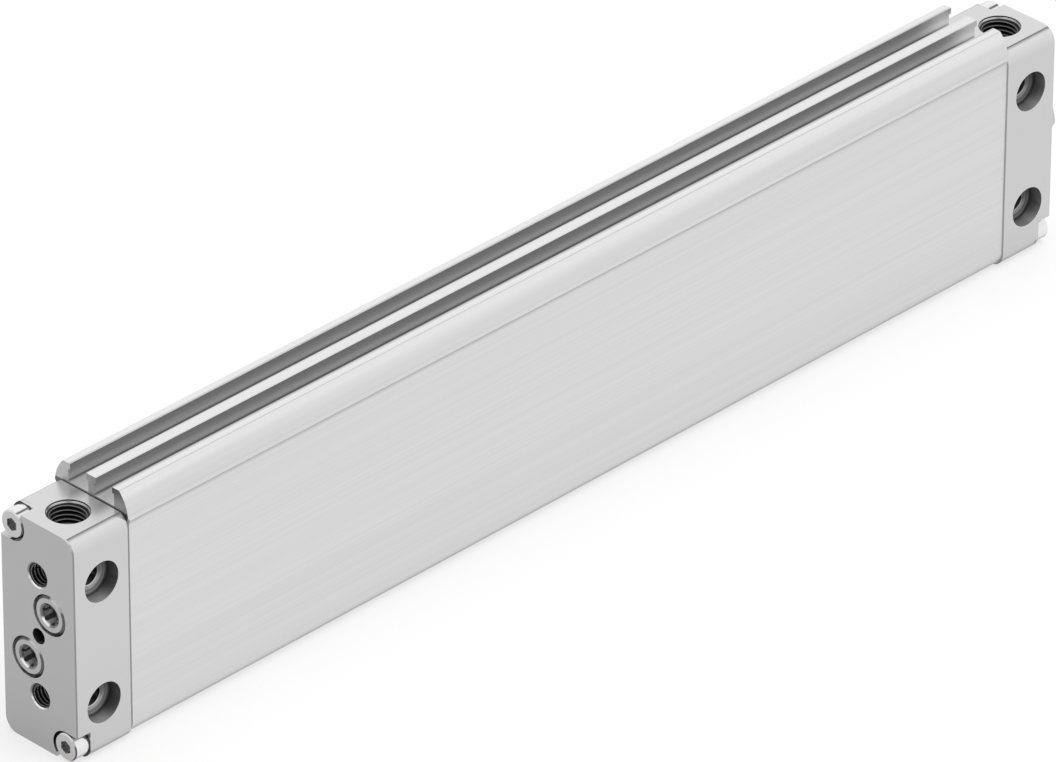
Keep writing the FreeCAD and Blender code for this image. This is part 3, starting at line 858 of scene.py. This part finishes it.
def add_piece(name, mesh, body, look):
    """Turns a bmesh into a piece that rides on a body."""
    data = bpy.data.meshes.new(name)
    mesh.to_mesh(data)
    mesh.free()
    data.materials.append(materials[look])
    piece = bpy.data.objects.new(name, data)
    bpy.context.scene.collection.objects.link(piece)
    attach(piece, body)


def ridge_height(phase):
    """Height of a thread's profile, from 0 in the valley to 1 on the crest, at a share of its pitch."""
    phase %= 1.0
    stops = RIDGE_STOPS + (1.0,)
    heights = RIDGE_HEIGHTS + (0.0,)
    for low, high, a, b in zip(stops, stops[1:], heights, heights[1:]):
        if phase <= high:
            return a + (b - a) * (phase - low) / (high - low)
    return 0.0


def thread_liner(name, thread, mouth_at, inward, body, slot, look):
    """Internal thread: a sleeve whose inner wall winds in a helix, after a short cone that leads in."""
    outer = thread["outer"]
    height = outer - thread["crest"]
    pitch = thread["pitch"]
    depth = thread["length"]
    cone_end = thread["cone"] - thread["lead"]
    shares = [step / ROUND_STEPS for step in range(ROUND_STEPS)]
    mesh = bmesh.new()
    crest = mesh.verts.layers.float.new(CREST)

    def ring_of(depths, radii):
        ring = []
        for share, along, radius in zip(shares, depths, radii):
            angle = 2 * math.pi * share
            vertex = mesh.verts.new((radius * math.cos(angle), radius * math.sin(angle), along))
            vertex[crest] = (outer - radius) / height
            ring.append(vertex)
        return ring

    def level_ring(along, radius):
        return ring_of([along] * ROUND_STEPS, [radius] * ROUND_STEPS)

    rings = [level_ring(thread["cone"] - outer, outer), level_ring(cone_end, thread["lead"])]
    for turn in range(-1, math.ceil(depth / pitch) + 1):
        for stop in RIDGE_STOPS:
            depths = [(turn + stop + share) * pitch for share in shares]
            depths = [min(max(along, cone_end + LEAD_STEP), depth) for along in depths]
            radii = [
                outer - height * ridge_height(along / pitch - share)
                for along, share in zip(depths, shares)]
            rings.append(ring_of(depths, radii))
    rings.append(level_ring(depth, outer))
    join_rings(mesh, rings)
    bmesh.ops.remove_doubles(mesh, verts=mesh.verts, dist=SAME_PLACE)
    bmesh.ops.recalc_face_normals(mesh, faces=mesh.faces)
    turn_inward = Vector(inward).to_track_quat("Z", "Y").to_matrix().to_4x4()
    mesh.transform(Matrix.Translation(Vector(mouth_at)) @ turn_inward)
    add_piece(name, mesh, body, look)


def end_threads():
    """Threads of the four end-face holes, the two supply ports and the rod's end."""
    cap = ("cylinder", "cap_anodised", "cap_thread_oil_and_shade")
    for sign, word in ((1, "upper"), (-1, "lower")):
        thread_liner(f"rear_{word}_thread", M6, (rear_low.x, 0, sign * CAP_HOLE_Z), (1, 0, 0), *cap)
        thread_liner(f"front_{word}_thread", M6, (front_end, 0, sign * CAP_HOLE_Z), (-1, 0, 0), *cap)
    for word, x in (("rear", rear_low.x + CAP_HOLE_X), ("front", front_end - CAP_HOLE_X)):
        thread_liner(f"{word}_port_thread", PORT, (x, PORT_Y, CAP_TOP), (0, 0, -1), *cap)
    thread_liner("rod_end_thread", ROD_M6, (rod_end, 0, 0), (-1, 0, 0), "rod", "rod_steel", "rod_thread_oil_and_shade")


def head_seats():
    """Rings that close the seats round the tie screws' heads, cut off where the cap ends."""
    for word, face, inward in (("rear", rear_low.x, 1), ("front", front_end, -1)):
        for side, level in ((1, "upper"), (-1, "lower")):
            mesh = bmesh.new()
            rings = []
            for depth, radius in SEAT_PROFILE:
                ring = []
                for step in range(ROUND_STEPS):
                    angle = 2 * math.pi * step / ROUND_STEPS
                    y = min(TIE_Y + radius * math.cos(angle), CAP_SIDE - SEAT_MARGIN)
                    z = min(TIE_Z + radius * math.sin(angle), CAP_TOP - SEAT_MARGIN)
                    ring.append(mesh.verts.new((depth, side * y, side * z)))
                rings.append(ring)
            join_rings(mesh, rings)
            mesh.transform(Matrix.Translation((face, 0, 0)) @ Matrix.Diagonal((inward, 1, 1, 1)))
            bmesh.ops.recalc_face_normals(mesh, faces=mesh.faces)
            add_piece(f"{word}_{level}_head_seat", mesh, "cylinder", "cap_anodised")


def camera():
    """Camera at the photograph's viewing angle."""
    back = Vector((
        -math.cos(ELEVATION) * math.sin(AZIMUTH),
        -math.cos(ELEVATION) * math.cos(AZIMUTH),
        math.sin(ELEVATION),
    ))
    right = Vector((math.cos(AZIMUTH), -math.sin(AZIMUTH), 0))
    up = back.cross(right)
    x_axis = math.cos(ROLL) * right + math.sin(ROLL) * up
    y_axis = math.cos(ROLL) * up - math.sin(ROLL) * right
    data = bpy.data.cameras.new("camera")
    data.sensor_width = SENSOR
    data.lens = SENSOR * FOCAL_PIXELS / IMAGE_WIDTH
    eye = bpy.data.objects.new("camera", data)
    turn = Matrix((x_axis, y_axis, back)).transposed().to_4x4()
    eye.matrix_world = Matrix.Translation(TARGET + back * DISTANCE) @ turn
    bpy.context.scene.collection.objects.link(eye)
    bpy.context.scene.camera = eye


def floor():
    """Pale floor that looks white and keeps the object's shadow."""
    mesh = bmesh.new()
    bmesh.ops.create_grid(mesh, x_segments=2, y_segments=2, size=FLOOR_HALF)
    data = bpy.data.meshes.new("floor")
    mesh.to_mesh(data)
    mesh.free()
    plane = bpy.data.objects.new("floor", data)
    plane.location = (HALF_LENGTH, 0, BASE_Z - FLOOR_GAP)
    bpy.context.scene.collection.objects.link(plane)
    material, shader, g = principled("floor")
    shader.inputs["Base Color"].default_value = (FLOOR_GREY, FLOOR_GREY, FLOOR_GREY, 1)
    shader.inputs["Roughness"].default_value = 1.0
    shader.inputs["Specular IOR Level"].default_value = 0.0
    shader.inputs["Emission Color"].default_value = (1, 1, 1, 1)
    lift = g.product(g.seen_directly(), 1 - FLOOR_GREY * FLOOR_LIGHT)
    g.link(lift, shader.inputs["Emission Strength"])
    material.cycles.emission_sampling = "NONE"
    data.materials.append(material)


def overhead_gap(g):
    """Brightness of the sky in reflections: a dull gap between soft boxes, and a dull corner."""
    x, y, z = (g.along("Generated", AXES[axis]) for axis in "XYZ")
    gap = g.product(
        g.rise(y, *GAP_NEAR), g.fall(y, *GAP_FAR), g.rise(z, *GAP_ABOVE), g.rise(x, *GAP_FRONT))
    corner = g.rise(g.along("Generated", DULL_CORNER), *CORNER_EDGE)
    return g.toned(OVERHEAD, g.larger(gap, corner))


def lights():
    """Two soft suns, and a sky that is dim but looks white to the camera and in reflections."""
    for name, (strength, angle, towards) in SUNS.items():
        data = bpy.data.lights.new(name, "SUN")
        data.energy = strength
        data.angle = math.radians(angle)
        lamp = bpy.data.objects.new(name, data)
        lamp.rotation_mode = "QUATERNION"
        lamp.rotation_quaternion = Vector(towards).to_track_quat("Z", "Y")
        lamp.visible_glossy = False
        bpy.context.scene.collection.objects.link(lamp)
    world = bpy.data.worlds.new("studio")
    world.use_nodes = True
    world.cycles.sampling_method = "NONE"
    bpy.context.scene.world = world
    g = Graph(world.node_tree)
    glossy = g.nodes.new("ShaderNodeLightPath").outputs["Is Glossy Ray"]
    shown = g.toned(overhead_gap(g), glossy)
    background = g.nodes["Background"]
    background.inputs["Color"].default_value = (1, 1, 1, 1)
    g.link(g.between(g.seen_directly(), SKY, shown), background.inputs["Strength"])


dress_nodes()
end_threads()
head_seats()
camera()
floor()
lights()
bpy.context.scene.view_settings.view_transform = "Standard"
